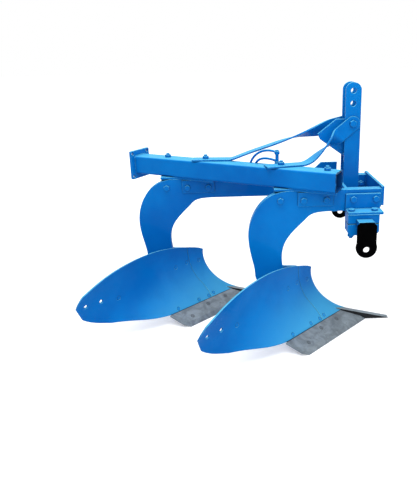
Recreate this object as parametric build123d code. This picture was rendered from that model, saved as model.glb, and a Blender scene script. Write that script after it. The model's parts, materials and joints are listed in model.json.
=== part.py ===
from build123d import *
import math
import os

os.makedirs("parts", exist_ok=True)

# Two-furrow mounted mouldboard plough, millimetres, travel +X, left +Y, up +Z
# The right face of the front body's shank is the reference, the ground is z = 0

# Spacing of the two bodies
furrow_pitch = 305.0
body_stagger = 542.0

# Shanks, flat plates bent like a goose neck and run forward as beams
shank_thickness = 30.0
beam_top = 690.0
beam_depth = 99.0
beam_front = 250.0
beam_corner = 16.0

# Square main tube lying across both beams
tube_size = 90.0
tube_wall = 8.0
tube_seat = 10.0
tube_start = (41.0, -85.0)
tube_overhang = 450.0
flange_size = 144.0
flange_hole_pitch = 116.0
flange_thickness = 12.0
body_spacing = math.hypot(furrow_pitch, body_stagger)
tube_length = body_spacing + tube_overhang

# Headstock box between the beams
headstock_rear = 88.0
wall = 12.0
floor_level = 598.0
cross_plate_low = 612.0
cross_plate_top = 700.0

# Mast, two flat bars either side of the top link
mast_width = 72.0
mast_plate = 12.0
mast_gap = 52.0
mast_top = 1151.0
mast_x = headstock_rear + wall + mast_width / 2
link_hole = 25.7
link_levels = (1114.0, 1057.0)
brace_level = 968.0

# Lower hitch, angle bracket, split clamp, tongue and ear
ear_hole = 28.7
ear_width = 86.0
ear_thickness = 12.0
ear_hole_level = 449.0
ear_top = 572.0
ear_reach = 139.0
tongue_width = 68.0
clamp_split = 552.0

# Bolts
bolt_d = 16.0
small_bolt_d = 12.0
hole_clearance = 1.5
plough_hole = small_bolt_d + hole_clearance
nut_pocket = small_bolt_d * 0.98
seat_gap = 0.3
head_sunk = 0.4

# Soil-working plates
blade_thickness = 7.0
share_thickness = 10.0
share_angle = 44.5
share_pitch = 26.6
land_plane = 90.0

half = shank_thickness / 2
beam_bottom = beam_top - beam_depth
tube_bottom = beam_top + tube_seat
tube_top = tube_bottom + tube_size
centre_y = furrow_pitch / 2
parts = {}


def block(x0, x1, y0, y1, z0, z1):
    """Axis-aligned block between two corners."""
    size = Box(x1 - x0, y1 - y0, z1 - z0)
    return Pos((x0 + x1) / 2, (y0 + y1) / 2, (z0 + z1) / 2) * size


def side_plate(face, y0, y1):
    """Face drawn in x and z, made into a plate from y0 to y1."""
    flat = Plane(origin=(0, y0, 0), x_dir=(1, 0, 0), z_dir=(0, -1, 0))
    return extrude(flat * face, amount=-(y1 - y0))


def rod(axis, at, radius, length):
    """Round bar starting at a point and running along an axis."""
    start = Plane(origin=at, z_dir=axis)
    return start * Pos(0, 0, length / 2) * Cylinder(radius, length)


def hexagon(axis, at, across, height):
    """Hexagonal bolt head or nut standing on a point."""
    start = Plane(origin=at, z_dir=axis)
    return extrude(start * RegularPolygon(across / 2, 6, major_radius=False), amount=height)


def bolt(axis, at, diameter, grip):
    """Bolt whose head stands at a point, facing along the axis, with its nut grip below."""
    z = Vector(*axis).normalized()
    head_at = Vector(*at)
    nut_at = head_at - z * grip
    head = hexagon(z, head_at, diameter * 1.6, diameter * 0.62)
    nut = hexagon(-z, nut_at, diameter * 1.6, diameter * 0.8)
    tail = rod(-z, head_at, diameter / 2, grip + diameter * 1.25)
    return head + nut + tail


def mirrored(shape):
    """The same thing on the other side of the plough's centre plane."""
    return mirror(shape, about=Plane(origin=(0, centre_y, 0), z_dir=(0, 1, 0)))


def countersunk(at, axis, grip):
    """Plough bolt, its head sunk flush at a point, with a nut at the far side."""
    place = Plane(origin=at, z_dir=axis)
    head = Pos(0, 0, -3 - head_sunk) * Cone(small_bolt_d / 2, small_bolt_d / 2 + 4, 6)
    tail = Pos(0, 0, -grip / 2 - 5) * Cylinder(small_bolt_d / 2, grip + 9)
    nut = extrude(Pos(0, 0, -grip) * RegularPolygon(small_bolt_d * 0.8, 6, major_radius=False), amount=-8)
    return place * (head + tail + nut)


def countersink(at, axis, depth):
    """Room for a sunk bolt head and its shank."""
    place = Plane(origin=at, z_dir=axis)
    cone = Pos(0, 0, -2.5) * Cone(plough_hole / 2, plough_hole / 2 + 4.6, 7)
    return place * (cone + Pos(0, 0, -depth / 2) * Cylinder(plough_hole / 2, depth + 8))


# Shanks
shank_bolts = (-209.0, -105.0, -1.0)
shank_bolt_level = 646.0


def shank_outline(front):
    """Goose-neck outline in x and z with the beam reaching forward to front."""
    with BuildSketch() as sketch:
        with BuildLine():
            back = Spline(
                (-160, beam_top),
                (-303, 630),
                (-357, 462),
                (-331, 315),
                (-228, 158),
                tangents=((-1, 0), (0.72, -0.69)),
            )
            toe = Line(back @ 1, (-92, 112))
            throat = Spline(
                (-92, 112),
                (-186, 275),
                (-186, 452),
                (-98, 553),
                (30, beam_bottom),
                tangents=((-0.66, 0.75), (1, 0)),
            )
            Polyline(
                (30, beam_bottom),
                (front - beam_corner, beam_bottom),
                (front, beam_bottom + beam_corner),
                (front, beam_top),
                (-160, beam_top),
            )
        make_face()
    return sketch.sketch


# Bodies, each drawn once at the front shank and moved back for the second
share_dir = Vector(math.cos(math.radians(share_angle)), math.sin(math.radians(share_angle)), 0)
share_back = Vector(-share_dir.Y, share_dir.X, 0)
share_up = share_back * math.cos(math.radians(share_pitch)) + Vector(0, 0, math.sin(math.radians(share_pitch)))
share_normal = share_dir.cross(share_up)

# Working face of the mouldboard by stations from the shin to the wing
# bottom x, y, z, top x, y, z, hollow behind the straight line
stations = (
    (128, 90, 52, -50, 90, 279, 46),
    (8, -24, 50, -122, -6, 326, 44),
    (-98, -124, 50, -196, -104, 358, 38),
    (-206, -228, 52, -278, -206, 374, 30),
    (-318, -298, 68, -374, -324, 368, 22),
    (-430, -368, 98, -468, -442, 338, 15),
    (-556, -451, 132, -570, -547, 273, 10),
)


def blade_strip(row, near, far):
    """Thin curved strip, one cross-section of the mouldboard."""
    low = Vector(*row[0:3])
    high = Vector(*row[3:6])
    chord = high - low
    across = Vector(chord.Y, -chord.X, 0)
    along = Vector(share_dir.X, share_dir.Y, 0)
    back = along.cross(chord).normalized() * -1
    middle = (low + high) * 0.5 + back * row[6]
    front = Edge.make_three_point_arc(low + back * near, middle + back * near, high + back * near)
    rear = Edge.make_three_point_arc(high + back * far, middle + back * far, low + back * far)
    sides = (
        front,
        Edge.make_line(high + back * near, high + back * far),
        rear,
        Edge.make_line(low + back * far, low + back * near),
    )
    return Wire(sides)


def blade(near, far):
    """Loft through every station, between two depths behind the working face."""
    return Solid.make_loft([blade_strip(row, near, far) for row in stations])


def front_of_blade(solid):
    """The larger face of a blade that looks forward and to the right."""
    large = sorted(solid.faces(), key=lambda face: -face.area)[0:2]
    return max(large, key=lambda face: face.center().X - face.center().Y)


working_blade = blade(0, blade_thickness)

# Share, laid out along its cutting edge (first number) and up its slope (second)
share_point = Vector(221, 62, 0)
share_plane = Plane(origin=share_point, x_dir=share_dir, z_dir=share_normal)
share_rise = 102.0
share_outline = ((0, 0), (-456, 0), (-483, 23), (-513, share_rise), (-92.6, share_rise))
share_bolts = ((-160, 76), (-283, 76), (-412, 48))
share_bevel = 24.0

plate = extrude(make_face(Polyline(*share_outline, close=True)), amount=share_thickness)
edge_cut = Plane.YZ * Pos(0, 0) * make_face(
    Polyline((0, 1.5), (share_bevel, share_thickness), (share_bevel, 30), (-5, 30), (-5, 1.5), close=True)
)
plate = plate - Pos(20, 0, 0) * extrude(edge_cut, amount=-560)
for a, b in share_bolts:
    plate = plate - Pos(a, b, 0) * Cylinder((small_bolt_d + hole_clearance) / 2, 40)
    plate = plate - Pos(a, b, share_thickness - 2.5) * Cone(6.75, 11.35, 7)
share = share_plane * plate
share_room = share_plane * Pos(-230, (share_rise + 0.6) / 2 - 40, 15) * Box(660, share_rise + 80.6, 90)
share_cover = share_plane * Pos(-230, (share_rise + 0.6) / 2 - 40, 30) * Box(660, share_rise + 80.6, 60)

# Bar point beside the share, square bar with a chisel end
bar_size = 28.0
bar_pitch = 13.3
bar_length = 300.0
bar_bevel = 116.0
share_land = 62.0
bar_plane = Plane(
    origin=(337, share_land + seat_gap, 2),
    x_dir=(-math.cos(math.radians(bar_pitch)), 0, math.sin(math.radians(bar_pitch))),
    z_dir=(0, 1, 0),
)
bar_outline = ((0, 0), (0, -2), (bar_bevel, -bar_size), (bar_length, -bar_size), (bar_length, 0))
bar_face = make_face(Polyline(*bar_outline, close=True))
bar_point = extrude(bar_plane * bar_face, amount=land_plane - share_land - seat_gap)
bar_room = bar_plane * Pos(bar_length / 2, -bar_size / 2, 20) * Box(
    bar_length + 2 * seat_gap, bar_size + 2 * seat_gap, 41
)

# Seam between the shin and the mouldboard, seen from the side as x and z
seam = ((4, 36), (-14, 62), (-46, 105), (-74, 140), (-94, 172), (-114, 225), (-124, 345))
seam_gap = 1.2


def side_region(shift, far):
    """Prism right across the plough, from the seam as far as a given x."""
    line = Spline(*[(x + shift, z) for x, z in seam])
    above = seam[-1][1] + 80
    rest = Polyline(line @ 1, (seam[-1][0] + shift, above), (far, above), (far, seam[0][1]), line @ 0)
    return side_plate(make_face([line, rest]), -700, 300)


ahead_of_seam = side_region(0, 300)
behind_seam = side_region(-seam_gap, -700)
land_side = block(-800, 400, land_plane, land_plane + 200, -20, 500)
trimmed_blade = working_blade - land_side - share_room - bar_room
shin = trimmed_blade & ahead_of_seam
mouldboard = trimmed_blade & behind_seam

# Rounded end of the wing, in distance back along the share line and height
wing_plane = Plane(origin=(0, 0, 0), x_dir=share_dir * -1, z_dir=(-share_dir.Y, share_dir.X, 0))
wing_tip = (
    (600, 106),
    (652, 125),
    (704, 148),
    (742, 177),
    (762, 211),
    (766, 245),
    (757, 277),
    (733, 309),
    (690, 345),
    (640, 385),
)
wing_curve = Spline(*wing_tip)
wing_back = Polyline(wing_curve @ 1, (600, 460), (-300, 460), (-300, -60), (480, 60), wing_curve @ 0)
wing_outline = make_face([wing_curve, wing_back])
mouldboard = mouldboard & extrude(wing_plane * wing_outline, amount=700, both=True)

# Plough bolts through the mouldboard, by height and distance from the shin in parts of one
blade_bolts = (
    (0.74, 0.10),
    (0.71, 0.215),
    (0.66, 0.32),
    (0.05, 0.425),
    (0.05, 0.275),
    (0.05, 0.20),
    (0.08, 0.155),
)
wing_bolts = ((0.48, 0.757),)
wing_spares = ((0.56, 0.86), (0.64, 0.95))
working_face = front_of_blade(working_blade)
blade_seats = []
for height, reach in blade_bolts + wing_bolts + wing_spares:
    at = working_face.position_at(height, reach)
    blade_seats.append((at, working_face.normal_at(height, reach)))
bolted = len(blade_bolts) + len(wing_bolts)

# Frog, a formed plate behind the blade with two webs, a floor and the share seat
frog_skin_thickness = 12.0
frog_front = blade_thickness + 0.6
skin = blade(frog_front, frog_front + frog_skin_thickness)
skin_room = block(-225, 70, -122, 80, 50, 285) + block(-205, 70, -215, 80, 50, 96)
skin = skin & skin_room
web_trim = blade(-160, frog_front + 4)
web_outline = ((62, 34), (62, 120), (-40, 267), (-130, 294), (-248, 300), (-275, 200), (-246, 34))
web = make_face(Polyline(*web_outline, close=True))
seat_thickness = 10.0
seat = share_plane * Pos(-292, 82, -seat_thickness / 2) * Box(364, 84, seat_thickness)
frog = side_plate(web, half, half + 14) + side_plate(web, 66, 80)
frog = frog + block(-246, 40, half, 80, 34, 48)
frog_left = 80.0
seat_step = share_plane * Pos(-292, share_rise + 20, 9) * Box(420, 40, 20)
frog = frog - web_trim + skin + (seat - web_trim - seat_step)
frog = frog - share_cover - block(-400, 0, -half, half, 100, 400)
frog = frog - block(-400, 400, frog_left, 200, -50, 400) - bar_room
frog_bolts = ((-160, 150), (-212, 185), (-222, 262))
landside_bolts = ((-200, 62), (-70, 62))
for a, b in share_bolts:
    frog = frog - share_plane * Pos(a, b, -10) * Cylinder(plough_hole / 2, 60)
for x, z in frog_bolts:
    frog = frog - rod((0, 1, 0), (x, 0, z), (bolt_d + hole_clearance) / 2, 40)
for x, z in landside_bolts:
    frog = frog - rod((0, 1, 0), (x, 50, z), plough_hole / 2, 60)
for at, axis in blade_seats:
    mouldboard = mouldboard - countersink(at, axis, 20)
    shin = shin - countersink(at, axis, 20)
    frog = frog - rod(axis, at - axis * 60, plough_hole / 2, 80)
    frog = frog - rod(axis * -1, at - axis * (frog_front + frog_skin_thickness), nut_pocket, 24)


# Landside, the long plate that runs against the furrow wall
landside_outline = ((6, 88), (-330, 92), (-342, 80), (-342, 20), (-330, 8), (-20, 8), (6, 30))
landside = side_plate(make_face(Polyline(*landside_outline, close=True)), frog_left, land_plane - 1)
for x, z in landside_bolts:
    landside = landside - countersink((x, land_plane - 1, z), (0, 1, 0), 30)

# Stay from the shank to the back of the mouldboard
stay_bar = 8.0
stay_start = Vector(-236, -half - stay_bar / 2, 176)
stay_end = Vector(-424, -337, 214)
stay_run = (stay_end - stay_start).normalized()
stay_side = stay_run.cross(Vector(0, 0, 1)).normalized()
stay_plane = Plane(origin=stay_start, x_dir=stay_side, z_dir=stay_run)
stay = extrude(stay_plane * Rectangle(stay_bar, 36), amount=(stay_end - stay_start).length + 30)
strap = blade(frog_front, frog_front + stay_bar) & block(-462, -386, -560, -300, 180, 250)
stay = (stay - blade(-160, frog_front + 4)) + strap
stay = stay + block(-262, -190, -half - stay_bar, -half, 158, 206)
stay = stay - rod((0, 1, 0), (frog_bolts[1][0], -60, frog_bolts[1][1]), (bolt_d + hole_clearance) / 2, 80)
for at, axis in blade_seats[len(blade_bolts):bolted]:
    stay = stay - rod(axis, at - axis * 60, plough_hole / 2, 80)
    stay = stay - rod(axis * -1, at - axis * (frog_front + stay_bar), nut_pocket, 24)

body = {
    "mouldboard": mouldboard,
    "shin": shin,
    "share": share,
    "frog": frog,
    "landside": landside,
    "bar_point": bar_point,
    "stay": stay,
}
for name, shape in body.items():
    parts[name + "_front"] = shape
    parts[name + "_rear"] = Pos(-body_stagger, furrow_pitch, 0) * shape

# Shanks, the rear one with a longer beam that reaches the same headstock
for name, shift, lift in (("front", 0.0, 0.0), ("rear", body_stagger, furrow_pitch)):
    shank = side_plate(shank_outline(beam_front + shift), -half, half)
    for x in shank_bolts:
        shank = shank - rod((0, 1, 0), (x, -50, shank_bolt_level), (bolt_d + 1.5) / 2, 100)
    parts["shank_" + name] = Pos(-shift, lift, 0) * shank

# Tube and its end flange
tube_plane = Plane(
    origin=(tube_start[0], tube_start[1], tube_bottom + tube_size / 2),
    x_dir=(0, 0, 1),
    z_dir=(-body_stagger, furrow_pitch, 0),
)
tube_section = RectangleRounded(tube_size, tube_size, 10) - RectangleRounded(
    tube_size - 2 * tube_wall, tube_size - 2 * tube_wall, 4
)
tube = extrude(tube_plane * tube_section, amount=tube_length)
flange_face = RectangleRounded(flange_size, flange_size, 6) - RectangleRounded(
    tube_size - 2 * tube_wall, tube_size - 2 * tube_wall, 4
)
for sx, sy in ((1, 1), (1, -1), (-1, 1), (-1, -1)):
    hole = Pos(sx * flange_hole_pitch / 2, sy * flange_hole_pitch / 2) * Circle(8.5)
    flange_face = flange_face - hole
flange = extrude(tube_plane * Pos(0, 0, tube_length) * flange_face, amount=flange_thickness)
parts["end_flange"] = flange

# Brackets that hold each beam to the tube
bracket_outline = ((-237, -half), (-150, -half), (27, -113), (27, 45), (-100, 45), (-237, 118))
bracket_rear = -237.0
bracket_front = 27.0
bracket_leg = 12.0
tube_bolt_x = (-199.0, -6.0)
bracket = extrude(Pos(0, 0, beam_top) * make_face(Polyline(*bracket_outline, close=True)), amount=tube_seat)
bracket = bracket + block(bracket_rear, bracket_front, half, half + bracket_leg, beam_bottom + 4, beam_top)
for x in shank_bolts:
    bracket = bracket - rod((0, 1, 0), (x, 0, shank_bolt_level), (bolt_d + 1.5) / 2, 60)


def tube_centre_y(x):
    """Where the tube's centre line lies at a given x."""
    return tube_start[1] + (tube_start[0] - x) * furrow_pitch / body_stagger


for x in tube_bolt_x:
    y = tube_centre_y(x)
    bracket = bracket - rod((0, 0, 1), (x, y, beam_top - 20), (bolt_d + 1.5) / 2, 60)
    for step in (0.0, body_stagger):
        at = (x - step, tube_centre_y(x - step), tube_bottom - 20)
        tube = tube - rod((0, 0, 1), at, (bolt_d + 1.5) / 2, tube_size + 40)
parts["main_tube"] = tube
parts["bracket_front"] = bracket
parts["bracket_rear"] = Pos(-body_stagger, furrow_pitch, 0) * bracket

# Packing plates outside the shanks under two of the bolts
packer = block(-130, 29, -half - 8, -half, 619, 684)
for x in shank_bolts[1:]:
    packer = packer - rod((0, 1, 0), (x, -60, shank_bolt_level), (bolt_d + 1.5) / 2, 80)
parts["packer_front"] = packer
parts["packer_rear"] = Pos(-body_stagger, furrow_pitch, 0) * packer

# Headstock box
box_low = floor_level
side_y = half + wall
left_y = furrow_pitch - half
headstock = block(headstock_rear, beam_front, half, side_y, box_low, beam_top)
headstock = headstock + block(headstock_rear, beam_front, left_y - wall, left_y, box_low, beam_top)
parts["headstock_plate"] = block(
    beam_front, beam_front + wall, -half, furrow_pitch + half, cross_plate_low, cross_plate_top
)
headstock = headstock + block(headstock_rear, headstock_rear + wall, half, left_y, box_low, beam_top)
headstock = headstock + block(headstock_rear, beam_front, half, left_y, box_low, box_low + wall)

# Mast bars
mast_low = box_low + wall
with BuildSketch() as mast_sketch:
    with BuildLine():
        Line((mast_x - 36, mast_low), (mast_x - 36, mast_top - 30))
        ThreePointArc((mast_x - 36, mast_top - 30), (mast_x, mast_top), (mast_x + 36, mast_top - 30))
        Line((mast_x + 36, mast_top - 30), (mast_x + 36, mast_low))
        Line((mast_x + 36, mast_low), (mast_x - 36, mast_low))
    make_face()
    for level in link_levels:
        with Locations((mast_x, level)):
            Circle(link_hole / 2, mode=Mode.SUBTRACT)
    with Locations((mast_x, brace_level)):
        Circle((bolt_d + 3.5) / 2, mode=Mode.SUBTRACT)
mast_right = centre_y - mast_gap / 2 - mast_plate
parts["mast_bar_right"] = side_plate(mast_sketch.sketch, mast_right, mast_right + mast_plate)
parts["mast_bar_left"] = mirrored(parts["mast_bar_right"])

# Stiffener between the mast bars with the sleeve of the brace bolt
gusset_outline = ((170, 985), (66, 985), (-20, 918), (-8, 893), (100, 815), (170, 815))
gusset = side_plate(make_face(Polyline(*gusset_outline, close=True)), centre_y - 7, centre_y + 7)
gusset = gusset + rod((0, 1, 0), (mast_x, centre_y - mast_gap / 2, brace_level), 20, mast_gap)
gusset = gusset + block(mast_x - 36, mast_x + 36, centre_y - mast_gap / 2, centre_y + mast_gap / 2, 815, 827)
gusset = gusset - rod((0, 1, 0), (mast_x, centre_y - 50, brace_level), (bolt_d + 3.5) / 2, 100)
parts["mast_gusset"] = gusset

# Braces, flat bars twisted a quarter turn between the mast and the tube
brace_width = 66.0
brace_thickness = 8.0


def twisted_brace(rows, start_y, foot_end):
    """Bar bolted flat on the mast, twisting through the rows to lie flat on the tube."""
    count = len(rows)
    planes = []
    for index, (x, y, z, turn) in enumerate(rows):
        before = Vector(*rows[max(index - 1, 0)][0:3])
        after = Vector(*rows[min(index + 1, count - 1)][0:3])
        along = (after - before).normalized()
        if index == 0:
            along = Vector(x - mast_x, 0, z - brace_level).normalized()
        if index == count - 1:
            along = Vector(foot_end[0] - x, foot_end[1] - y, 0).normalized()
        level = along.cross(Vector(0, 0, 1)).normalized()
        upright = level.cross(along).normalized()
        angle = math.radians(turn)
        wide = upright * math.cos(angle) + level * math.sin(angle)
        planes.append(Plane(origin=(x, y, z), x_dir=wide, z_dir=along))
    section = Rectangle(brace_width, brace_thickness)
    bar = loft([plane * section for plane in planes])
    x, y, z, turn = rows[0]
    run = math.hypot(x - mast_x, z - brace_level)
    lean = math.degrees(math.atan2(z - brace_level, mast_x - x))
    end = Pos(-run / 2, 0) * Rectangle(run, brace_width) + Circle(brace_width / 2)
    end = Pos(mast_x, brace_level) * Rot(0, 0, -lean) * end - Pos(mast_x, brace_level) * Circle(9.75)
    bar = bar + side_plate(end, start_y, start_y + brace_thickness)
    last = Vector(*rows[-1][0:3])
    reach = (Vector(foot_end[0], foot_end[1], last.Z) - last).length
    foot = extrude(planes[-1] * section, amount=reach)
    return bar + foot


right_y = mast_right - brace_thickness
left_y0 = furrow_pitch - mast_right
foot_level = tube_top + brace_thickness / 2
right_rows = (
    (80, right_y + 4, 921.7, 0),
    (58, 103.5, 905, -14),
    (40, 99, 892, -44),
    (14, 94, 870, -66),
    (-14, 88, 846, -80),
    (-50, 81, 816, -90),
    (-80, 75, 799, -90),
    (-106, 69, foot_level, -90),
)
left_rows = (
    (64, left_y0 + 4, 951, 0),
    (22, left_y0 + 5, 938, -16),
    (-20, 198, 925, -40),
    (-62, 202, 914, -60),
    (-116, 207, 900, -78),
    (-216, 216, 868, -90),
    (-380, 230, 811, -90),
    (-430, 235, foot_level, -90),
)
right_foot = (-270, 35)
left_foot = (-612, 252)
brace_right = twisted_brace(right_rows, right_y, right_foot)
brace_left = twisted_brace(left_rows, left_y0, left_foot)
foot_bolts = ((tube_bolt_x[0], 0.0), (tube_bolt_x[1], body_stagger))
foot_holes = []
for x, step in foot_bolts:
    at = (x - step, tube_centre_y(x - step), tube_top - 10)
    foot_holes.append(rod((0, 0, 1), at, (bolt_d + hole_clearance) / 2, 40))
parts["brace_right"] = brace_right - foot_holes[0]
parts["brace_left"] = brace_left - foot_holes[1]
parts["brace_bolt"] = bolt((0, -1, 0), (mast_x, right_y, brace_level), bolt_d + 2, 92.0)

# Lifting shackle behind the tube, two bowed bars on an upright pin
shackle_bar = 11.0
shackle_pin = 16.0
shackle_at = (-214.0, 96.0)
shackle_rise = 56.0
upper_bow = ((-334, 160), (-300, 144, 46), (-262, 122, 62), shackle_rise)
lower_bow = ((-310, 144), (-294, 134, 18), (-260, 116, 26), 16.0)


def bow(foot, knee, crown, rise):
    """Round bar from a foot on the tube over two points to the pin, heights from the tube's top."""
    path = Spline(
        (foot[0], foot[1], tube_top - 2),
        (knee[0], knee[1], tube_top + knee[2]),
        (crown[0], crown[1], tube_top + crown[2]),
        (shackle_at[0], shackle_at[1], tube_top + rise),
    )
    section = Plane(origin=path @ 0, z_dir=path % 0) * Circle(shackle_bar / 2)
    return sweep(section, path=path)


shackle = bow(*upper_bow) + bow(*lower_bow)
pin_at = (shackle_at[0], shackle_at[1], tube_top)
shackle = shackle + rod((0, 0, 1), pin_at, shackle_pin / 2, shackle_rise + 12)
for level in (0.0, shackle_rise - 8):
    collar = (shackle_at[0], shackle_at[1], tube_top + level)
    shackle = shackle + rod((0, 0, 1), collar, shackle_pin / 2 + 4, 14)
shackle = shackle - block(-400, -150, 20, 240, tube_top - 20, tube_top)
parts["shackle"] = shackle

# Upright stiffener welded on the far beam beside the tube
stiffener_outline = ((-8, beam_top), (100, beam_top), (102, 756), (22, 756), (-8, 728))
stiffener = side_plate(make_face(Polyline(*stiffener_outline, close=True)), 290, 300)
parts["beam_stiffener"] = stiffener

# Lower hitch on the right, mirrored for the left
hitch_rear = 86.0
hitch_front = 243.0
hitch_leg_low = beam_bottom
hitch_leg_top = 672.0
angle_leg = 75.0
clamp_rear = 84.0
clamp_front = 226.0
clamp_low = 497.0
clamp_gap = 4.0
tongue_low = 532.0
bracket_bolt_x = (120.0, 222.0)
bracket_bolt_level = 647.0
clamp_bolt_x = (105.0, 209.0)
clamp_bolt_y = -half - 47.0
tongue_x = 157.0
outer_y = -half - angle_leg
inner_y = -half - 10.0
ear_y = -half - ear_reach

hitch_angle = block(hitch_rear, hitch_front, -half - wall, -half, hitch_leg_low, hitch_leg_top)
hitch_angle = hitch_angle + block(
    hitch_rear, hitch_front, outer_y, -half, hitch_leg_low, hitch_leg_low + wall
)
upper_clamp = block(clamp_rear, clamp_front, outer_y, inner_y, clamp_split, hitch_leg_low)
lower_face = make_face(
    Polyline(
        (clamp_rear, clamp_split - clamp_gap),
        (clamp_front, clamp_split - clamp_gap),
        (clamp_front, clamp_low),
        (clamp_rear, clamp_low),
        close=True,
    )
)
lower_corners = lower_face.vertices().sort_by(Axis.Y)[0:2]
lower_face = chamfer(lower_corners, 14)
lower_clamp = side_plate(lower_face, outer_y, inner_y)
tongue = block(
    tongue_x - tongue_width / 2, tongue_x + tongue_width / 2, ear_y + ear_thickness, inner_y, tongue_low, ear_top
)
upper_clamp = upper_clamp - tongue
lower_clamp = lower_clamp - tongue
for x in clamp_bolt_x:
    drill = rod((0, 0, 1), (x, clamp_bolt_y, clamp_low - 20), (bolt_d + hole_clearance) / 2, 160)
    hitch_angle = hitch_angle - drill
    upper_clamp = upper_clamp - drill
    lower_clamp = lower_clamp - drill

# The ear hangs from the outer end of the tongue
ear_radius = ear_width / 2 - 6
with BuildSketch() as ear_sketch:
    with BuildLine():
        Polyline(
            (tongue_x - ear_width / 2, ear_hole_level + 28),
            (tongue_x - ear_width / 2, ear_top - 14),
            (tongue_x - ear_width / 2 + 12, ear_top),
            (tongue_x + ear_width / 2 - 12, ear_top),
            (tongue_x + ear_width / 2, ear_top - 14),
            (tongue_x + ear_width / 2, ear_hole_level + 28),
        )
        ThreePointArc(
            (tongue_x + ear_width / 2, ear_hole_level + 28),
            (tongue_x, ear_hole_level - 37),
            (tongue_x - ear_width / 2, ear_hole_level + 28),
        )
    make_face()
    with Locations((tongue_x, ear_hole_level)):
        Circle(ear_hole / 2, mode=Mode.SUBTRACT)
ear = side_plate(ear_sketch.sketch, ear_y, ear_y + ear_thickness)

bracket_grip = wall + shank_thickness + wall
clamp_grip = hitch_leg_low + wall - clamp_low
hitch_bolts = []
for x in bracket_bolt_x:
    drill = rod((0, 1, 0), (x, -60, bracket_bolt_level), (bolt_d + hole_clearance) / 2, 120)
    hitch_angle = hitch_angle - drill
    headstock = headstock - drill - mirrored(drill)
    parts["shank_front"] = parts["shank_front"] - drill
    parts["shank_rear"] = parts["shank_rear"] - mirrored(drill)
    hitch_bolts.append(bolt((0, -1, 0), (x, -half - wall, bracket_bolt_level), bolt_d, bracket_grip))
for x in clamp_bolt_x:
    hitch_bolts.append(bolt((0, 0, 1), (x, clamp_bolt_y, hitch_leg_low + wall), bolt_d, clamp_grip))

hitch = {
    "hitch_angle": hitch_angle,
    "clamp_upper": upper_clamp,
    "clamp_lower": lower_clamp,
    "hitch_tongue": tongue,
    "hitch_ear": ear,
    "hitch_bolts": Compound(hitch_bolts),
}
for name, shape in hitch.items():
    parts[name + "_right"] = shape
    parts[name + "_left"] = mirrored(shape)
parts["headstock"] = headstock

# Bolts through the tube, the shanks and the bodies
for name, step, lift in (("front", 0.0, 0.0), ("rear", body_stagger, furrow_pitch)):
    group = []
    for x in tube_bolt_x:
        under_foot = (x, step) in foot_bolts
        seat = tube_top + (brace_thickness if under_foot else 0.0)
        at = (x - step, tube_centre_y(x - step), beam_top)
        group.append(bolt((0, 0, -1), at, bolt_d, seat - beam_top))
    parts["tube_bolts_" + name] = Compound(group)
    group = []
    for index, x in enumerate(shank_bolts):
        seat = half + (8.0 if index else 0.0)
        at = (x, -seat, shank_bolt_level)
        group.append(bolt((0, -1, 0), at, bolt_d, seat + half + bracket_leg))
    for index, (x, z) in enumerate(frog_bolts):
        seat = half + (stay_bar if index == 1 else 0.0)
        group.append(bolt((0, -1, 0), (x, -seat, z), bolt_d, seat + half + 14))
    parts["shank_bolts_" + name] = Pos(-step, lift, 0) * Compound(group)
    group = []
    for x, z in landside_bolts:
        group.append(countersunk((x, land_plane - 1, z), (0, 1, 0), land_plane - 1 - 66))
    for index, (at, axis) in enumerate(blade_seats[:bolted]):
        behind = frog_skin_thickness if index < len(blade_bolts) else stay_bar
        group.append(countersunk(at, axis, frog_front + behind))
    parts["plough_bolts_" + name] = Pos(-step, lift, 0) * Compound(group)
    group = []
    for a, b in share_bolts:
        at = share_plane.from_local_coords((a, b, share_thickness))
        group.append(countersunk(at, share_normal, share_thickness + seat_thickness))
    parts["share_bolts_" + name] = Pos(-step, lift, 0) * Compound(group)
    for x, z in frog_bolts:
        drill = rod((0, 1, 0), (x - step, lift - 60, z), (bolt_d + hole_clearance) / 2, 80)
        parts["shank_" + name] = parts["shank_" + name] - drill

# The library frame has its origin at the bottom centre of the whole plough
lows = [shape.bounding_box().min for shape in parts.values()]
highs = [shape.bounding_box().max for shape in parts.values()]
origin = Vector(
    (min(low.X for low in lows) + max(high.X for high in highs)) / 2,
    (min(low.Y for low in lows) + max(high.Y for high in highs)) / 2,
    min(low.Z for low in lows),
)
for name, shape in parts.items():
    export_step(Pos(-origin) * shape, "parts/" + name + ".step")

print("origin", origin)
marks = {
    "link": (mast_x, centre_y, link_levels[0]),
    "link_low": (mast_x, centre_y, link_levels[1]),
    "ear_right": (tongue_x, ear_y + ear_thickness / 2, ear_hole_level),
    "ear_left": (tongue_x, furrow_pitch - ear_y - ear_thickness / 2, ear_hole_level),
    "flange": tuple((tube_plane * Pos(0, 0, tube_length + flange_thickness)).position),
}
for name, mark in marks.items():
    print(name, Vector(mark) - origin)
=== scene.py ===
import json
import math
import bpy
from mathutils import Matrix, Vector


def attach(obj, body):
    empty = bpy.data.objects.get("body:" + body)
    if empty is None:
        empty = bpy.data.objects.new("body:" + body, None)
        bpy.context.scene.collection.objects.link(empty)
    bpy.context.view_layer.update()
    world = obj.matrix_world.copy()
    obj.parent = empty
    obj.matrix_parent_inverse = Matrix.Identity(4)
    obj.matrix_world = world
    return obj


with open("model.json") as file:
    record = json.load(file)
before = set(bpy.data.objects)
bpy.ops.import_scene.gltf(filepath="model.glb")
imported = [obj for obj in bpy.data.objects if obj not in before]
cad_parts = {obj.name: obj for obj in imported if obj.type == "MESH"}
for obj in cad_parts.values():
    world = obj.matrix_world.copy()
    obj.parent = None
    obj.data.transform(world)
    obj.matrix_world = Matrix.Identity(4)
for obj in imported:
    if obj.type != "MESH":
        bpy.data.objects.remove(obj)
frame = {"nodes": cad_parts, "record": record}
nodes = frame["nodes"]
slotOf = {piece["node"]: piece["material_slot"] for piece in frame["record"]["subparts"]}
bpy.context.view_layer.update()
print("plough loaded,", len(nodes), "pieces")

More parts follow.
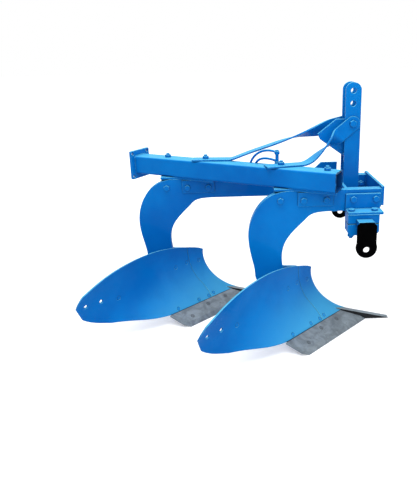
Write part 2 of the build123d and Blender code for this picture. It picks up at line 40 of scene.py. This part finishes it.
# where things stand: the front shank's reference and the step back to the second body in metres,
# and the bodies' spacing across the furrow in millimetres
layout = {
    "shankAt": Vector((0.390376, 0.006037, 0)),
    "bodyStep": Vector((-0.542, 0.305, 0)),
    "bodyPitch": 305,
}


def spot(x, y, z):
    # a place measured in millimetres from the front shank's reference
    return layout["shankAt"] + Vector((x, y, z)) / 1000


def tubeWay():
    # the tube runs from one body to the other: its direction to the rear, and the level one across it
    back = layout["bodyStep"].normalized()
    return back, Vector((-back.y, back.x, 0))


class Wire:
    # one output socket, which takes part in plain arithmetic
    def __init__(self, board, node, output):
        self.board = board
        self.node = node
        self.socket = node.outputs[output]

    def out(self, name):
        return Wire(self.board, self.node, name)

    def maths(self, operation, first, second=0.0):
        return self.board.add("ShaderNodeMath", {"operation": operation}, {0: first, 1: second})

    def __add__(self, other):
        return self.maths("ADD", self, other)

    def __radd__(self, other):
        return self.maths("ADD", other, self)

    def __sub__(self, other):
        return self.maths("SUBTRACT", self, other)

    def __rsub__(self, other):
        return self.maths("SUBTRACT", other, self)

    def __mul__(self, other):
        return self.maths("MULTIPLY", self, other)

    def __rmul__(self, other):
        return self.maths("MULTIPLY", other, self)

    def __lt__(self, other):
        return self.maths("LESS_THAN", self, other)

    def larger(self, other):
        return self.maths("MAXIMUM", self, other)

    def size(self):
        return self.maths("ABSOLUTE", self)

    def fade(self, low, high):
        # nought below low, one above high, smooth between
        values = {"Value": self, "From Min": low, "From Max": high}
        return self.board.add("ShaderNodeMapRange", {"interpolation_type": "SMOOTHSTEP"}, values)


boardSettings = {"columns": 9, "across": 200, "down": 260}


class Board:
    # a node tree and the one way in which nodes are put on it
    def __init__(self, tree):
        self.tree = tree
        self.tree.nodes.clear()

    def add(self, kind, settings=None, values=None, out=0):
        kept = boardSettings
        node = self.tree.nodes.new(kind)
        row, column = divmod(len(self.tree.nodes), kept["columns"])
        node.location = ((column - kept["columns"]) * kept["across"], -row * kept["down"])
        for key, value in (settings or {}).items():
            setattr(node, key, value)
        for key, value in (values or {}).items():
            if isinstance(value, Wire):
                self.tree.links.new(value.socket, node.inputs[key])
            elif value is not None:
                node.inputs[key].default_value = value
        return None if out is None else Wire(self, node, out)


class Finish(Board):
    # one procedural material, with its shader at the end
    def __init__(self, name, fixed):
        self.material = bpy.data.materials.new(name)
        self.material.use_nodes = True
        super().__init__(self.material.node_tree)
        self.coordinates = self.add("ShaderNodeTexCoord", out="Object")
        self.shader = self.add("ShaderNodeBsdfPrincipled", {}, fixed)
        self.add("ShaderNodeOutputMaterial", {}, {"Surface": self.shader}, out=None)

    def feed(self, **values):
        for key, value in values.items():
            self.tree.links.new(value.socket, self.shader.node.inputs[key.replace("_", " ")])

    def vector(self, operation, first, second=None):
        # a vector sum that ends in a number
        values = {0: first, 1: second}
        return self.add("ShaderNodeVectorMath", {"operation": operation}, values, out="Value")

    def noise(self, scale, detail=3.0, rough=0.5, stretch=None, turn=0.0, warp=0.0):
        place = self.coordinates
        if stretch:
            mapped = {"Vector": place, "Rotation": (0, 0, turn), "Scale": stretch}
            place = self.add("ShaderNodeMapping", {}, mapped)
        values = {"Vector": place, "Scale": scale, "Detail": detail, "Roughness": rough, "Distortion": warp}
        return self.add("ShaderNodeTexNoise", {}, values)

    def blend(self, factor, first, second):
        settings = {"data_type": "RGBA", "blend_type": "MIX"}
        return self.add("ShaderNodeMix", settings, {0: factor, 6: first, 7: second}, out=2)

    def axis(self, vector, name):
        return self.add("ShaderNodeSeparateXYZ", {}, {0: vector}, out=name)

    def edges(self, radius, low, high):
        # how sharply the surface turns within a small radius
        self.rounded = self.add("ShaderNodeBevel", {"samples": 6}, {"Radius": radius})
        flat = self.add("ShaderNodeNewGeometry", out="Normal")
        return (1 - self.vector("DOT_PRODUCT", self.rounded, flat)).fade(low, high)

    def crevice(self, reach, low, high):
        # one deep in a corner or a narrow gap, nought on open faces
        settings, values = {"samples": 6}, {"Distance": reach}
        return (1 - self.add("ShaderNodeAmbientOcclusion", settings, values, out="AO")).fade(low, high)

    def upward(self):
        return self.axis(self.add("ShaderNodeNewGeometry", out="Normal"), "Z")

    def along(self, start, direction):
        # distance in metres past a place, measured along a direction
        return self.vector("DOT_PRODUCT", self.coordinates, direction) - start.dot(direction)

    def bump(self, height, distance, strength):
        values = {"Height": height, "Distance": distance, "Strength": strength, "Normal": self.rounded}
        return self.add("ShaderNodeBump", {}, values)


# pairs are the low and high end of a fade, lengths are in metres, scales are of the noise
blueSettings = {
    "fixed": {"Coat Roughness": 0.08, "Coat Weight": 0.06, "IOR": 1.06},
    "colour": (0.0015, 0.172, 0.540, 1),
    "deep": (0.001, 0.115, 0.430, 1),
    # the next colour is painted sky light on faces to the sky
    "pale": (0.090, 0.465, 0.69, 1),
    # the next colour is a painted highlight along upper edges
    "rim": (0.220, 0.74, 0.77, 1),
    # the next colour is painted shade for crevices and the rings around sunk heads
    "paintedShadeDark": (0.001, 0.022, 0.095, 1),
    "driftScale": 2.2,
    "drift": (0.30, 0.60),
    "cloudScale": 11,
    "cloud": (0.42, 0.72),
    "cloudShare": 0.22,
    # the next two give painted shade on faces turned downwards
    "under": (-0.45, 0.10),
    "underShare": 0.55,
    "edgeRadius": 0.0036,
    "sunkRadius": 0.0026,
    "edgeTurn": (0.01, 0.17),
    "skyward": (-0.05, 0.70),
    "lowerRim": 0.22,
    "chipScale": 60,
    "speckScale": 240,
    "speckShare": 0.25,
    "creviceReach": 0.016,
    "crevice": (0.22, 0.75),
    "creviceShare": 0.85,
    "skinScale": 310,
    "waveScale": 42,
    "skinDepth": 0.0004,
}


def bluePaint(name, gloss, peel, rim, skyHighlight, sunk=False):
    # enamel sprayed over steel: tone drift, soft orange peel, painted highlight that makes faces to the sky
    # and upper corners paler, and painted shade that darkens faces turned down, corners and narrow gaps. The
    # fourth argument is the range of upward slope that turns pale with painted sky light, and how much of it
    # does
    kept = blueSettings
    finish = Finish(name, kept["fixed"])
    drift = finish.noise(kept["driftScale"], 4, 0.55)
    cloud = finish.noise(kept["cloudScale"], 5, 0.6, warp=0.4)
    colour = finish.blend(drift.fade(*kept["drift"]), kept["deep"], kept["colour"])
    facing = finish.upward()
    # painted shade: faces turned downwards darken towards the deep blue
    under = 1 - facing.fade(*kept["under"])
    colour = finish.blend(under * kept["underShare"], colour, kept["deep"])
    colour = finish.blend(cloud.fade(*kept["cloud"]) * kept["cloudShare"], colour, kept["deep"])
    # painted highlight: faces to the sky turn pale, as painted sky light
    sky = facing.fade(skyHighlight[0], skyHighlight[1])
    colour = finish.blend(sky * (cloud * 0.5 + 0.75) * skyHighlight[2], colour, kept["pale"])
    corner = finish.edges(kept["sunkRadius"] if sunk else kept["edgeRadius"], *kept["edgeTurn"])
    if sunk:
        # painted shade: a dark ring where the sunk head meets the plate
        colour = finish.blend(corner * rim, colour, kept["paintedShadeDark"])
    else:
        # painted highlight: corners turn pale cyan, most of all those facing up, broken up by noise
        skyward = finish.axis(finish.rounded, "Z").fade(*kept["skyward"])
        edgeHighlight = corner * finish.noise(kept["chipScale"], 4, 0.7).fade(0.05, 0.5)
        litEdge = edgeHighlight * (skyward * (1 - kept["lowerRim"]) + kept["lowerRim"])
        colour = finish.blend(litEdge * rim, colour, kept["rim"])
    speck = finish.noise(kept["speckScale"], 2, 0.5).fade(0.70, 0.76) * finish.noise(9, 3, 0.5).fade(0.5, 0.7)
    colour = finish.blend(speck * kept["speckShare"], colour, kept["deep"])
    # painted shade: corners and narrow gaps darkened to near black blue by ambient occlusion
    creviceShade = finish.crevice(kept["creviceReach"], *kept["crevice"])
    colour = finish.blend(creviceShade * kept["creviceShare"], colour, kept["paintedShadeDark"])
    skin = finish.noise(kept["skinScale"], 2, 0.5) * 0.5 + finish.noise(kept["waveScale"], 3, 0.5)
    rough = gloss + cloud.fade(0.3, 0.75) * 0.09 + sky * 0.10
    finish.feed(Base_Color=colour, Roughness=rough, Normal=finish.bump(skin, kept["skinDepth"], peel))
    finish.colour = colour
    return finish


# sizes in millimetres, except sawn and the bore's painted shade range, in metres from the front end
tubeSettings = {
    "start": (41, -85, 745),
    "length": 1071.93,
    "half": 45,
    "corner": 8,
    "wall": 8,
    "lip": 0.8,
    "sawn": 0.0016,
    "boreShade": (0.004, 0.055),
    "rim": (0.016, 0.014, 0.018, 1),
    "mouth": (0.002, 0.045, 0.190, 1),
    "bore": (0.006, 0.007, 0.010, 1),
}


def tubePaint(name):
    # the open front end is sawn bare and dull, and the bore is darkened as painted shade, navy at the mouth
    # and near black further in
    kept = tubeSettings
    finish = bluePaint(name, gloss=0.28, peel=0.30, rim=0.80, skyHighlight=(0.45, 0.98, 0.66))
    start = spot(*kept["start"])
    back, side = tubeWay()
    reach = (kept["half"] - kept["wall"] + kept["lip"]) / 1000
    across = finish.along(start, side).size() < reach
    height = finish.along(start, Vector((0, 0, 1))).size() < reach
    bare = (finish.along(start, back) < kept["sawn"]) * finish.noise(70, 4, 0.7).fade(0.36, 0.62)
    colour = finish.blend(bare, finish.colour, kept["rim"])
    # painted shade inside the bore, fading from navy at the mouth to near black
    bore = finish.blend(finish.along(start, back).fade(*kept["boreShade"]), kept["mouth"], kept["bore"])
    finish.feed(Base_Color=finish.blend(across * height, colour, bore))
    return finish


steelSettings = {
    "bright": (0.255, 0.305, 0.345, 1),
    "dull": (0.140, 0.172, 0.200, 1),
    "dark": (0.030, 0.034, 0.040, 1),
    # the next colour is near black, used as painted shade on the point bar's sides and in the share bolts'
    # ring
    "scale": (0.004, 0.004, 0.005, 1),
    "rust": (0.13, 0.060, 0.028, 1),
    "smear": (9, 46, 46),
    "scratch": (24, 620, 620),
    "groove": (10, 300, 300),
    "grooveTurn": 0.12,
    "depth": 0.0006,
}


def wornSteel(name, shade, scratchTurn, rim=("bright", 0.0014, 0.5), wornTopShadedSides=False):
    # ground steel, scratched by soil along the way of travel, with dull patches. rim is the colour at the
    # corners, its radius and its share, and the last argument keeps the upper face bright steel, worn by
    # soil, while the side faces are darkened to near black as painted shade
    kept = steelSettings
    rimColour, rimRadius, rimShare = rim
    finish = Finish(name, {"Specular IOR Level": 0.12 if wornTopShadedSides else 0.4})
    patch = finish.noise(17, 6, 0.62, warp=0.8)
    smear = finish.noise(1, 5, 0.6, stretch=kept["smear"], turn=scratchTurn)
    line = finish.noise(1, 3, 0.55, stretch=kept["scratch"], turn=scratchTurn)
    groove = finish.noise(1, 2, 0.5, stretch=kept["groove"], turn=scratchTurn + kept["grooveTurn"])
    colour = finish.blend(patch.fade(0.34, 0.68), kept["dull"], kept["bright"])
    colour = finish.blend(smear.fade(0.48, 0.72) * 0.55, colour, kept["dull"])
    colour = finish.blend(line.fade(0.58, 0.70) * 0.55, colour, kept["bright"])
    pit = finish.noise(85, 5, 0.7).fade(0.60, 0.72)
    colour = finish.blend(pit * 0.6, colour, kept["dark"])
    rust = finish.noise(30, 5, 0.65).fade(0.62, 0.78) * finish.noise(5, 2, 0.5).fade(0.45, 0.7)
    colour = finish.blend(rust * 0.45, colour, kept["rust"])
    corner = finish.edges(rimRadius, 0.04, 0.26)
    # painted shade: with the last argument the side faces darken to near black and the upper face stays
    # bright
    scale = (1 - finish.upward().fade(0.55, 0.9)) * shade if wornTopShadedSides else shade
    colour = finish.blend(scale, colour, kept["scale"] if wornTopShadedSides else kept["dark"])
    colour = finish.blend(corner * rimShare, colour, kept[rimColour])
    rough = 0.40 + patch.fade(0.3, 0.7) * 0.14 + pit * 0.2 - line.fade(0.6, 0.7) * 0.1
    metal = (0.60 - rust * 0.5 - pit * 0.3) * (1 - scale)
    height = line * 0.4 + groove * 0.6 - pit * 0.5 + patch * 0.5
    normal = finish.bump(height, kept["depth"], 0.5)
    finish.feed(Base_Color=colour, Roughness=rough, Metallic=metal, Normal=normal)
    return finish


blackSettings = {
    "colour": (0.0006, 0.0006, 0.0008, 1),
    "worn": (0.003, 0.003, 0.0035, 1),
    "edgeRadius": 0.0016,
    "depth": 0.0004,
}


def blackPaint(name):
    # flat black dipped over the ears, rubbed at the corners
    kept = blackSettings
    finish = Finish(name, {"IOR": 1.04})
    drift = finish.noise(34, 5, 0.6)
    corner = finish.edges(kept["edgeRadius"], 0.05, 0.30)
    colour = finish.blend(drift.fade(0.45, 0.75) * 0.4, kept["colour"], kept["worn"])
    colour = finish.blend(corner * finish.noise(120, 3, 0.6).fade(0.4, 0.6) * 0.6, colour, kept["worn"])
    normal = finish.bump(finish.noise(260, 3, 0.6), kept["depth"], 0.35)
    finish.feed(Base_Color=colour, Roughness=0.42 + drift.fade(0.3, 0.7) * 0.16, Normal=normal)
    return finish


# each blue finish's fourth argument sets its painted sky light on faces to the sky
finishes = {
    "blue_paint": bluePaint("blueEnamel", gloss=0.30, peel=0.30, rim=0.94, skyHighlight=(0.45, 0.98, 0.60)),
    "share_steel": wornSteel("shareSteel", shade=0.10, scratchTurn=0.0),
    # the point bar: side faces near black as painted shade, upper face bright
    "point_steel": wornSteel(
        "pointSteel", shade=0.97, scratchTurn=0.3, rim=("dull", 0.0014, 0.3), wornTopShadedSides=True
    ),
    "black_paint": blackPaint("earBlack"),
    "blade": bluePaint("bladeEnamel", gloss=0.22, peel=0.16, rim=0.90, skyHighlight=(0.02, 0.90, 0.60)),
    "tube": tubePaint("tubeEnamel"),
    "fastener": bluePaint("fastenerEnamel", gloss=0.30, peel=0.40, rim=0.90, skyHighlight=(0.3, 0.95, 0.60)),
    # sunk bolt heads: a dark ring at the head's edge as painted shade, with painted sky light on faces to the
    # sky
    "sunkBolt": bluePaint(
        "sunkBoltEnamel", gloss=0.26, peel=0.20, rim=0.92, skyHighlight=(0.04, 0.92, 0.32), sunk=True
    ),
    # share bolt heads: the dark ring at the head's edge is painted shade
    "shareBolt": wornSteel("shareBoltSteel", shade=0.55, scratchTurn=0.9, rim=("scale", 0.0030, 0.97)),
}
# pieces whose finish isn't the one of their slot, by a part of the node's name
fitted = (
    ("mouldboard", "blade"),
    ("shin", "blade"),
    ("main_tube", "tube"),
    ("plough_bolts", "sunkBolt"),
    ("share_bolts", "shareBolt"),
    ("_bolt", "fastener"),
)
for name, piece in nodes.items():
    chosen = [key for part, key in fitted if part in name]
    piece.data.materials.clear()
    piece.data.materials.append(finishes[chosen[0] if chosen else slotOf[name]].material)
print("finishes ready")


def inScene(name, data):
    # an object for a mesh, curve, lamp or camera, put in the scene
    item = bpy.data.objects.new(name, data)
    bpy.context.scene.collection.objects.link(item)
    return item


def meshPiece(name, places, faces, material):
    mesh = bpy.data.meshes.new(name)
    mesh.from_pydata(places, [], faces)
    mesh.materials.append(material)
    return inScene(name, mesh)


# weld seams, as places in millimetres from the front shank's reference; radius and pitch in metres
seamSettings = {
    "radius": 0.0031,
    "flangeRadius": 0.003565,
    "pitch": 0.0026,
    "seed": 7,
    "segments": 10,
    "rings": 6,
    "spread": (0.86, 1.12),
    "flat": 0.72,
    "headstock": (
        ((100, 27, 612), (100, 27, 688)),
        ((250, 27, 614), (250, 27, 688)),
        ((250, 278, 614), (250, 278, 688)),
        ((100, 278, 612), (100, 278, 688)),
        ((102, 27, 610), (248, 27, 610)),
        ((102, 278, 610), (248, 278, 610)),
        ((250, 29, 611), (250, 276, 611)),
    ),
    "mast": (
        ((102, 114.5, 610), (170, 114.5, 610)),
        ((102, 190.5, 610), (170, 190.5, 610)),
        ((100, 114.5, 612), (100, 114.5, 689)),
        ((100, 190.5, 612), (100, 190.5, 689)),
        ((102, 126.5, 815), (170, 126.5, 815)),
        ((102, 178.5, 815), (170, 178.5, 815)),
    ),
    "hitch": (
        ((90, -90, 591), (222, -90, 591)),
        ((123, -142, 534), (123, -142, 572), (191, -142, 572), (191, -142, 534)),
    ),
    "bracket": (
        ((-236, 27, 690), (26, 27, 690)),
    ),
    "frog": (
        ((-240, 29, 48), (-20, 29, 48)),
        ((-240, 66, 48), (30, 66, 48)),
    ),
}


def seamCurve(name, runs):
    curve = bpy.data.curves.new(name, "CURVE")
    curve.dimensions = "3D"
    for run in runs:
        line = curve.splines.new("POLY")
        line.points.add(len(run) - 1)
        for point, place in zip(line.points, run):
            point.co = (*place, 1)
    return inScene(name, curve)


def weldTree():
    # small overlapping scales laid along a curve, like a hand-run bead
    kept = seamSettings
    tree = bpy.data.node_groups.new("weldBead", "GeometryNodeTree")
    asked = {"Seam": "Geometry", "Radius": "Float", "Pitch": "Float", "Seed": "Int", "Coat": "Material"}
    sockets = {}
    for name, kind in asked.items():
        sockets[name] = tree.interface.new_socket(name, in_out="INPUT", socket_type="NodeSocket" + kind)
    tree.interface.new_socket("Bead", in_out="OUTPUT", socket_type="NodeSocketGeometry")
    board = Board(tree)
    seam = board.add("NodeGroupInput", out="Seam")
    walk = {"Curve": seam, "Length": seam.out("Pitch")}
    points = board.add("GeometryNodeCurveToPoints", {"mode": "LENGTH"}, walk, out="Points")
    ball = {"Segments": kept["segments"], "Rings": kept["rings"], "Radius": seam.out("Radius")}
    scale = board.add("GeometryNodeMeshUVSphere", {}, ball, out="Mesh")
    # inputs 2 and 3 are the ends of the float range
    spread = {2: kept["spread"][0], 3: kept["spread"][1], "Seed": seam.out("Seed")}
    jitter = board.add("FunctionNodeRandomValue", {"data_type": "FLOAT"}, spread, out=1)
    squash = board.add("ShaderNodeCombineXYZ", {}, {"X": jitter, "Y": jitter, "Z": kept["flat"]})
    laid = {"Points": points, "Rotation": points.out("Rotation"), "Instance": scale, "Scale": squash}
    scales = board.add("GeometryNodeInstanceOnPoints", {}, laid, out="Instances")
    solid = board.add("GeometryNodeRealizeInstances", {}, {"Geometry": scales}, out="Geometry")
    smooth = board.add("GeometryNodeSetShadeSmooth", {}, {"Geometry": solid}, out="Geometry")
    coated = {"Geometry": smooth, "Material": seam.out("Coat")}
    bead = board.add("GeometryNodeSetMaterial", {}, coated, out="Geometry")
    board.add("NodeGroupOutput", {}, {"Bead": bead}, out=None)
    return tree, sockets


def bake(source, name):
    # plain mesh from a curve with a live tree, then the curve goes
    bpy.context.view_layer.update()
    result = source.evaluated_get(bpy.context.evaluated_depsgraph_get())
    mesh = bpy.data.meshes.new_from_object(result)
    mesh.name = name
    piece = inScene(name, mesh)
    bpy.data.objects.remove(source)
    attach(piece, "root")


weld, weldInputs = weldTree()


def layBead(name, runs, radius):
    source = seamCurve(name + "Line", runs)
    work = source.modifiers.new("bead", "NODES")
    work.node_group = weld
    work[weldInputs["Radius"].identifier] = radius
    work[weldInputs["Pitch"].identifier] = seamSettings["pitch"]
    work[weldInputs["Seed"].identifier] = seamSettings["seed"]
    work[weldInputs["Coat"].identifier] = finishes["blue_paint"].material
    bake(source, name)


def placed(runs, step=(0, 0, 0), flip=False):
    # runs as places in the scene, moved by a step or mirrored to the left side
    found = []
    for run in runs:
        turned = [(x, layout["bodyPitch"] - y if flip else y, z) for x, y, z in run]
        found.append([spot(*place) + Vector(step) for place in turned])
    return found


def flangeSeam():
    # around the tube where it meets its flange, cutting the corners
    kept = tubeSettings
    back, side = tubeWay()
    centre = spot(*kept["start"]) + back * kept["length"] / 1000
    reach = kept["half"] / 1000
    cut = kept["corner"] / 1000
    corners = (
        (reach - cut, reach), (cut - reach, reach), (-reach, reach - cut), (-reach, cut - reach),
        (cut - reach, -reach), (reach - cut, -reach), (reach, cut - reach), (reach, reach - cut),
        (reach - cut, reach),
    )
    return [[centre + side * across + Vector((0, 0, up)) for across, up in corners]]


def onBothBodies(runs):
    return placed(runs) + placed(runs, layout["bodyStep"])


layBead("weldHeadstock", placed(seamSettings["headstock"]), seamSettings["radius"])
layBead("weldMast", placed(seamSettings["mast"]), seamSettings["radius"])
layBead("weldHitchRight", placed(seamSettings["hitch"]), seamSettings["radius"])
layBead("weldHitchLeft", placed(seamSettings["hitch"], flip=True), seamSettings["radius"])
layBead("weldBrackets", onBothBodies(seamSettings["bracket"]), seamSettings["radius"])
layBead("weldFrogs", onBothBodies(seamSettings["frog"]), seamSettings["radius"])
layBead("weldFlange", flangeSeam(), seamSettings["flangeRadius"])
print("weld seams laid")

# painted shade: dark boxes and strips set in gaps where shade falls; a box's faces, for corners that run
# along, then across, then up
gapShadeSettings = {
    "finish": {"Base Color": (0.012, 0.012, 0.016, 1), "Roughness": 0.9, "Specular IOR Level": 0.1},
    "faces": ((0, 2, 3, 1), (4, 5, 7, 6), (0, 1, 5, 4), (2, 6, 7, 3), (0, 4, 6, 2), (1, 3, 7, 5)),
    "clampRear": ((84.6, -89.4, 548.1), (122.4, -25.6, 551.9)),
    "clampFront": ((191.6, -89.4, 548.1), (225.4, -25.6, 551.9)),
}
gapShadeFinish = Finish("paintedGapShade", gapShadeSettings["finish"])

# the joint between share and blade, as the share lies: turn and slope in degrees, sizes in millimetres
jointSettings = {
    "corner": (221, 62, 0),
    "turn": 44.5,
    "slope": 26.6,
    "ends": (-508, -96),
    "rise": (101.2, 103.6),
    "skin": (9.6, 10.25),
}


# a dark strip along the joint between share and blade, as painted shade in the gap
def jointShadeLine(name, step):
    kept = jointSettings
    turn = math.radians(kept["turn"])
    slope = math.radians(kept["slope"])
    edge = Vector((math.cos(turn), math.sin(turn), 0))
    back = Vector((-edge.y, edge.x, 0))
    up = back * math.cos(slope) + Vector((0, 0, math.sin(slope)))
    out = edge.cross(up)
    places = []
    for skin in kept["skin"]:
        for rise in kept["rise"]:
            for end in kept["ends"]:
                offset = (edge * end + up * rise + out * skin) / 1000
                places.append(spot(*kept["corner"]) + offset + Vector(step))
    strip = meshPiece(name, places, gapShadeSettings["faces"], gapShadeFinish.material)
    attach(strip, "root")


def gapShadeBox(name, low, high, flip):
    # a dark box as painted shade in the gap between the two clamps
    corners = [(x, y, z) for z in (low[2], high[2]) for y in (low[1], high[1]) for x in (low[0], high[0])]
    places = [spot(x, layout["bodyPitch"] - y if flip else y, z) for x, y, z in corners]
    faces = gapShadeSettings["faces"]
    if flip:  # mirrored, so the faces are turned back to look outwards
        faces = [tuple(reversed(face)) for face in faces]
    box = meshPiece(name, places, faces, gapShadeFinish.material)
    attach(box, "root")


for side, flip in (("Right", False), ("Left", True)):
    gapShadeBox("clampShadeRear" + side, *gapShadeSettings["clampRear"], flip)
    gapShadeBox("clampShadeFront" + side, *gapShadeSettings["clampFront"], flip)
jointShadeLine("jointShadeFront", (0, 0, 0))
jointShadeLine("jointShadeRear", layout["bodyStep"])
print("joints filled")

# size is the floor's side, near and far are radii where its glow for the camera changes, in metres
floorSettings = {
    "size": 60.0,
    "finish": {"Base Color": (0.80, 0.80, 0.80, 1), "Roughness": 0.9, "Specular IOR Level": 0.1},
    "near": 1.3,
    "far": 3.4,
    "glow": (0.32, 0.32, 0.32, 1),
    "farGlow": (0.75, 0.75, 0.75, 1),
    "unseen": (0, 0, 0, 1),
}


def cameraOrMirror(board):
    # one for rays from the camera or off a mirror or glass
    seen = board.add("ShaderNodeLightPath", out="Is Camera Ray")
    return seen.larger(seen.out("Is Glossy Ray").larger(seen.out("Is Transmission Ray")))


def makeFloor():
    kept = floorSettings
    half = kept["size"] / 2
    places = [(-half, -half, 0), (half, -half, 0), (half, half, 0), (-half, half, 0)]
    finish = Finish("paleFloor", kept["finish"])
    away = finish.vector("LENGTH", finish.coordinates)
    glow = finish.blend(away.fade(kept["near"], kept["far"]), kept["glow"], kept["farGlow"])
    finish.shader.node.inputs["Emission Strength"].default_value = 1.0
    finish.feed(Emission_Color=finish.blend(cameraOrMirror(finish), kept["unseen"], glow))
    floor = meshPiece("studioFloor", places, [(0, 1, 2, 3)], finish.material)


makeFloor()

lightSettings = {
    # name, place, target, size, watts
    "lamps": (
        ("skyPanel", (0.2, -0.8, 4.2), (0.0, 0.0, 0.4), 4.0, 195),
        ("sidePanel", (0.6, -4.2, 2.2), (0.0, 0.0, 0.4), 2.8, 55),
        ("backPanel", (-2.2, 3.2, 2.8), (0.0, 0.0, 0.6), 2.6, 60),
    ),
    "sky": {"Color": (0.93, 0.97, 1.0, 1), "Strength": 0.50},
    "backdrop": {"Color": (1, 1, 1, 1), "Strength": 1.0},
}
for name, place, target, size, watts in lightSettings["lamps"]:
    lamp = bpy.data.lights.new(name, "AREA")
    lamp.energy = watts
    lamp.size = size
    lampObject = inScene(name, lamp)
    lampObject.location = place
    lampObject.rotation_euler = (Vector(target) - Vector(place)).to_track_quat("-Z", "Y").to_euler()


def makeWorld():
    # soft sky light on the plough, plain white behind it
    world = bpy.data.worlds.new("studioWorld")
    bpy.context.scene.world = world
    world.use_nodes = True
    board = Board(world.node_tree)
    soft = board.add("ShaderNodeBackground", {}, lightSettings["sky"])
    clear = board.add("ShaderNodeBackground", {}, lightSettings["backdrop"])
    choice = board.add("ShaderNodeMixShader", {}, {0: cameraOrMirror(board), 1: soft, 2: clear})
    board.add("ShaderNodeOutputWorld", {}, {"Surface": choice}, out=None)


makeWorld()
bpy.context.scene.view_settings.view_transform = "Standard"
print("floor, lamps and sky set")

# place in metres, yaw, pitch and roll in radians, lens and sensor in millimetres
cameraSettings = {
    "place": (-0.02677, -2.37953, 1.30155),
    "yaw": 0.044,
    "pitch": 0.305,
    "roll": -0.018,
    "lens": 39.456,
    "sensor": 36,
    "shift": (-0.0985, -0.0578),
}


def setCamera():
    kept = cameraSettings
    camera = bpy.data.cameras.new("photoCamera")
    camera.lens = kept["lens"]
    camera.sensor_width = kept["sensor"]
    camera.shift_x, camera.shift_y = kept["shift"]
    ahead = Vector((math.sin(kept["yaw"]), math.cos(kept["yaw"]), 0))
    beside = Vector((math.cos(kept["yaw"]), -math.sin(kept["yaw"]), 0))
    look = ahead * math.cos(kept["pitch"]) - Vector((0, 0, math.sin(kept["pitch"])))
    above = ahead * math.sin(kept["pitch"]) + Vector((0, 0, math.cos(kept["pitch"])))
    right = beside * math.cos(kept["roll"]) + above * math.sin(kept["roll"])
    top = above * math.cos(kept["roll"]) - beside * math.sin(kept["roll"])
    turned = Matrix((right, top, -look)).transposed().to_4x4()
    cameraObject = inScene("photoCamera", camera)
    cameraObject.matrix_world = Matrix.Translation(Vector(kept["place"])) @ turned
    bpy.context.scene.camera = cameraObject


setCamera()
print("camera set")
